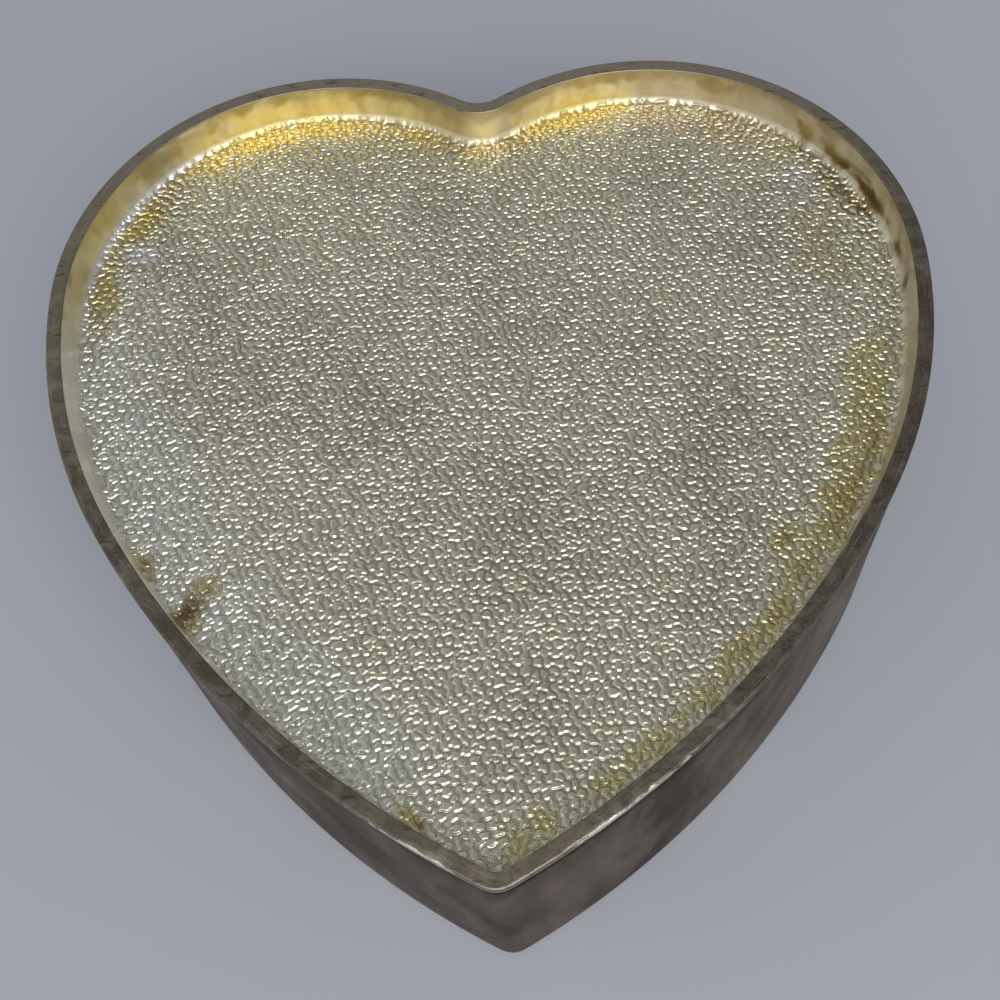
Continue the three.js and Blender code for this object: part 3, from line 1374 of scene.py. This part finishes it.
    def stains(self) -> tuple[Stain, ...]:
        """Tarnish on the recess wall and the panel, broad patches first, and painted light: pale on the left,
        a glint on the left fillet.
        """
        return (
            # Painted light: broad pale patches over the left of the panel, where more light falls.
            Stain(Tint.PALE_PAINTED_LIGHT, -94, 6, 36, 11, 0.8, 0.4),
            Stain(Tint.PALE_PAINTED_LIGHT, -132, 8, 24, 8, 0.6, 0.4),
            Stain(Tint.ROSE, 30, 8, 13, 2.5, 0.35),
            Stain(Tint.LILAC_AND_PAINTED_GLINT, -57, 9, 2.6, 3.0, 0.9, 0.6),
            Stain(Tint.LILAC_AND_PAINTED_GLINT, 47, 8.5, 3.5, 2.0, 0.5),
            Stain(Tint.BEIGE, 8, 1.8, 78, 4.6, 0.85, 0.4),
            Stain(Tint.ROSE, 100, 1.8, 46, 3.4, 0.7, 0.4),
            Stain(Tint.OLIVE, 62, 12, 8, 3.5, 0.45),
            # Painted reflection: the left recess wall made paler, where it reflects more light.
            Stain(Tint.PALE_PAINTED_LIGHT, -112, 1.6, 34, 4.6, 0.9, 0.3),
            Stain(Tint.STRAW, -58, 2.2, 13, 4.2, 0.8, 0.6),
            Stain(Tint.STRAW, -20, 3.0, 24, 5.5, 0.95, 0.5),
            Stain(Tint.GOLD, -23, 1.9, 20, 2.0, 0.9, 0.8),
            Stain(Tint.GOLD, -29, 5.6, 14, 2.6, 0.9, 0.8),
            Stain(Tint.GOLD, -6, 5.8, 7, 1.4, 0.6),
            Stain(Tint.STRAW, 11, 3.5, 10, 4.6, 0.9, 0.6),
            Stain(Tint.GOLD, 12, 5.2, 8, 2.6, 0.85, 0.6),
            Stain(Tint.UMBER, 17, 0.6, 5, 1.3, 0.7, 0.9),
            Stain(Tint.UMBER, -12, 0.5, 4, 1.2, 0.7, 0.9),
            Stain(Tint.UMBER, -27, 0.6, 6, 1.2, 0.45, 1.0),
            Stain(Tint.UMBER, 4, -0.3, 74, 2.3, 0.7, 1.0),
            Stain(Tint.OLIVE, -56, 1.6, 13, 2.6, 0.6, 0.8),
            Stain(Tint.GREY, -44, 2.4, 3.4, 3.2, 0.5),
            Stain(Tint.UMBER, -43, 1.2, 6, 2.2, 0.6, 1.0),
            # Painted glint: a whitish line along the fillet on the left, where the crease catches light.
            Stain(Tint.LILAC_AND_PAINTED_GLINT, -57, 4.8, 20, 0.9, 0.8, 0.4),
            Stain(Tint.UMBER, -51, 7.0, 3.0, 1.2, 0.6, 1.4),
            Stain(Tint.OLIVE, -52, 7.2, 4.4, 2.0, 0.85, 1.0),
            Stain(Tint.OLIVE, -66, 6.6, 5.0, 2.2, 0.75, 1.0),
            Stain(Tint.UMBER, -66, 0.5, 2.0, 0.9, 0.7),
            Stain(Tint.UMBER, 31, 1.4, 3.2, 1.3, 0.7, 1.0),
            Stain(Tint.UMBER, 44.5, 3.2, 1.6, 2.8, 0.7, 1.2),
            Stain(Tint.UMBER, 56, 3.4, 11, 1.3, 0.85, 1.8),
            Stain(Tint.BROWN, 56, 3.5, 8, 0.7, 0.8, 2.0),
            Stain(Tint.UMBER, 55, 6.2, 4, 1.2, 0.6, 1.8),
            Stain(Tint.OLIVE, 82, 8.0, 7, 3.4, 0.7, 0.9),
            Stain(Tint.OLIVE, 94, 7.4, 11, 3.2, 0.8, 0.8),
            Stain(Tint.OLIVE, 107, 6.9, 11, 2.6, 0.8, 0.8),
            Stain(Tint.OLIVE, 123, 6.4, 12, 1.8, 0.8, 0.9),
            Stain(Tint.OLIVE, 140, 6.4, 10, 1.3, 0.7, 1.0),
            Stain(Tint.OLIVE, 154, 6.8, 4.6, 1.9, 0.7, 1.2),
            Stain(Tint.UMBER, 104, 6.4, 20, 0.8, 0.35, 1.6),
            Stain(Tint.OLIVE, 108.9, 9.9, 2.2, 1.6, 0.8, 1.2),
            Stain(Tint.UMBER, 108.7, 9.7, 1.1, 1.1, 0.45, 1.4),
            Stain(Tint.OLIVE, -105, 5.0, 2.0, 1.6, 0.8, 1.4),
            Stain(Tint.UMBER, -105, 5.2, 0.7, 0.7, 0.7, 1.4),
            Stain(Tint.OLIVE, -111.5, 9.0, 1.8, 2.0, 0.85, 1.0),
            Stain(Tint.OLIVE, -114.6, 5.0, 2.4, 1.6, 0.8, 1.0),
            Stain(Tint.UMBER, -112.6, 7.0, 1.4, 2.2, 0.85, 1.2),
            Stain(Tint.UMBER, -113.4, 4.8, 1.5, 1.4, 0.85, 1.2),
            Stain(Tint.BROWN, -113.2, 5.8, 0.7, 1.3, 0.6, 1.4),
            Stain(Tint.OLIVE, -147, 5.6, 2.4, 1.2, 0.8, 1.2),
            Stain(Tint.UMBER, -148, 5.4, 0.9, 0.7, 0.8, 1.2),
        )

    def rim_stains(self) -> tuple[Stain, ...]:
        """Broad darker and lighter lengths of the rim."""
        return (
            Stain(Tint.GREY, -8, -0.8, 62, 4, 0.45),
            Stain(Tint.GREY, 14, -0.8, 40, 4, 0.4),
            Stain(Tint.SOOT, 96, -0.8, 46, 4, 0.5),
            Stain(Tint.SOOT, -120, -0.8, 30, 4, 0.4),
            Stain(Tint.GREY, 154, -0.8, 14, 4, 0.15),
            Stain(Tint.GREY, -154, -0.8, 14, 4, 0.15),
        )

    def build(self, effects: Effects) -> bpy.types.Object:
        """Builds and dresses the lid.

        Args:
            effects: The shared node groups.

        Returns:
            The piece.
        """
        sheet = SheetMesh()
        previous = self.panel(sheet)
        sections = ((self.wall_section(), Surface.PANEL), (self.rim_section(), Surface.RIM))
        for section, surface in (*sections, (self.outside_section(), Surface.HIDDEN)):
            for inset, z in section:
                plan = HEART.ring(inset)
                points = self.nicked(plan, inset, z)
                lie = HEART.footing(plan)
                run = self.top - z if surface is Surface.PANEL else inset - self.rim_width
                marks = {"along": lie.along, "run": run}
                if surface is Surface.PANEL:
                    self.uneven(points, lie.outward, run)
                ring = sheet.add(points, grain=1.0, wear=self.wear(points, inset), **marks)
                sheet.bridge(previous, ring, surface)
                previous = ring
        sheet.cap(previous, Surface.HIDDEN, downwards=True)
        materials = [
            GrainedPlate(stains=self.stains()).material(effects),
            WornRim(stains=self.rim_stains()).material(effects),
            PAN_OUTSIDE_PLATE.material(effects),
        ]
        lid = sheet.build("box_lid", materials)
        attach(lid, ROOT)
        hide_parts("lid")
        return lid


@dataclass(frozen=True)
class Studio:
    """Camera, soft light and a plain pale floor."""

    focal_px: float = 1400.0
    image_px: float = 1000.0
    sensor: float = 36.0
    nearest: float = 1.0 * MM
    camera_place: Triple = (7.03 * MM, -77.83 * MM, 161.73 * MM)
    camera_turn: Triple = (0.48204, 0.05689, -0.02322)
    floor_colour: Colour = (0.42, 0.44, 0.50)
    floor_size: float = 4.0
    floor_rough: float = 0.6
    room: Colour = (0.37, 0.375, 0.385)
    room_top: Colour = (0.255, 0.26, 0.27)
    top_levels: Levels = (0.66, 0.96)
    room_low: Colour = (0.15, 0.15, 0.155)
    low_levels: Levels = (0.15, 0.66)
    room_left: Colour = (0.50, 0.51, 0.53)
    left_levels: Levels = (-0.9, 0.1)
    room_front: Colour = (0.75, 0.74, 0.71)
    front_levels: Levels = (-0.8, -0.05)
    softbox_place: Triple = (0.12, -0.5, 0.68)
    softbox_size: tuple[float, float] = (0.72, 0.48)
    softbox_power: float = 3.9
    softbox_colour: Colour = (1.0, 1.0, 0.99)

    def camera(self) -> bpy.types.Object:
        """Places the camera where the photograph was taken from.

        Returns:
            The camera.
        """
        lens = bpy.data.cameras.new("photo_camera")
        lens.sensor_width = self.sensor
        lens.lens = self.sensor * self.focal_px / self.image_px
        lens.clip_start = self.nearest
        camera = bpy.data.objects.new("photo_camera", lens)
        camera.location = self.camera_place
        camera.rotation_euler = self.camera_turn
        bpy.context.scene.collection.objects.link(camera)
        bpy.context.scene.camera = camera
        return camera

    def floor(self) -> bpy.types.Object:
        """Lays the floor.

        Returns:
            The floor.
        """
        half = self.floor_size / 2
        corners = [(-half, -half, 0), (half, -half, 0), (half, half, 0), (-half, half, 0)]
        mesh = bpy.data.meshes.new("studio_floor")
        mesh.from_pydata(corners, [], [(0, 1, 2, 3)])
        material, make, shader = new_material("pale_floor")
        colour = (*self.floor_colour, 1.0)
        finish_material(make, shader, {"Base Color": colour, "Roughness": self.floor_rough})
        mesh.materials.append(material)
        floor = bpy.data.objects.new("studio_floor", mesh)
        bpy.context.scene.collection.objects.link(floor)
        return floor

    def softbox(self) -> bpy.types.Object:
        """Hangs the soft light, which faces the box.

        Returns:
            The light.
        """
        light = bpy.data.lights.new("front_softbox", "AREA")
        light.shape = "RECTANGLE"
        light.size, light.size_y = self.softbox_size
        light.energy = self.softbox_power
        light.color = self.softbox_colour
        lamp = bpy.data.objects.new("front_softbox", light)
        lamp.location = self.softbox_place
        lamp.rotation_euler = (-Vector(self.softbox_place)).to_track_quat("-Z", "Y").to_euler()
        bpy.context.scene.collection.objects.link(lamp)
        return lamp

    def surroundings(self) -> None:
        """Fills the room with soft light, brighter in front and on the left."""
        world = bpy.data.worlds.new("soft_room")
        world.use_nodes = True
        make = Shading(world.node_tree)
        background = world.node_tree.nodes["Background"]
        right, back, up = make.add("SeparateXYZ", {0: make.add("TexCoord").outputs["Generated"]}).outputs
        colour = make.mix(make.ramp(up, *self.top_levels), self.room, self.room_top)
        colour = make.mix(make.fade(up, *self.low_levels), colour, self.room_low)
        colour = make.mix(make.fade(right, *self.left_levels), colour, self.room_left)
        colour = make.mix(make.fade(back, *self.front_levels), colour, self.room_front)
        make.tree.links.new(colour, background.inputs[0])
        bpy.context.scene.world = world

    def build(self) -> None:
        """Sets the whole studio up."""
        self.camera()
        self.floor()
        self.surroundings()
        self.softbox()
        bpy.context.scene.view_settings.view_transform = "Standard"


def main() -> None:
    """Builds the box and its studio."""
    logging.basicConfig(level=logging.INFO, format="%(name)s: %(message)s")
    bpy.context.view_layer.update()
    Studio().build()
    effects = Effects()
    for part in (BoxBody(), BoxLid()):
        piece = part.build(effects)
        triangles = sum(len(face.vertices) - 2 for face in piece.data.polygons)
        LOG.info("%s: %d vertices, %d triangles", piece.name, len(piece.data.vertices), triangles)
    bpy.context.view_layer.update()


if __name__ == "__main__":
    main()
